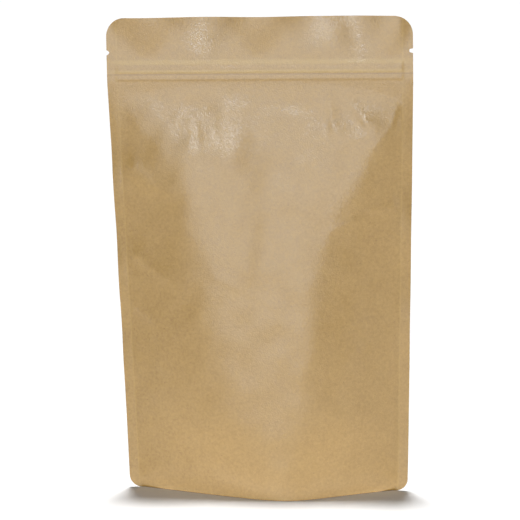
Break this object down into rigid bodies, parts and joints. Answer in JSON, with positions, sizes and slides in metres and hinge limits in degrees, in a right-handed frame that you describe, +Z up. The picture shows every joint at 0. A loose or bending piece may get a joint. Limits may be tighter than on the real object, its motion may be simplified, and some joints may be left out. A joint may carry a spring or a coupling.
{
  "type": "stand-up pouch",
  "caption": "Upright kraft paper stand-up pouch, shut with a press-to-close zip, with tear notches, sealed sides and a folded bottom that it stands on.",
  "frame": {"origin": "on the floor, in the middle of the base", "axes": "+Z up, +X to the right across the front, front facing -Y"},
  "size_m": [0.18, 0.0534, 0.285],
  "materials": {
    "pouch": "satin brown kraft with a thin clear film"
  },
  "bodies": {
    "root": {"pouch": "pouch"}
  },
  "joints": []
}
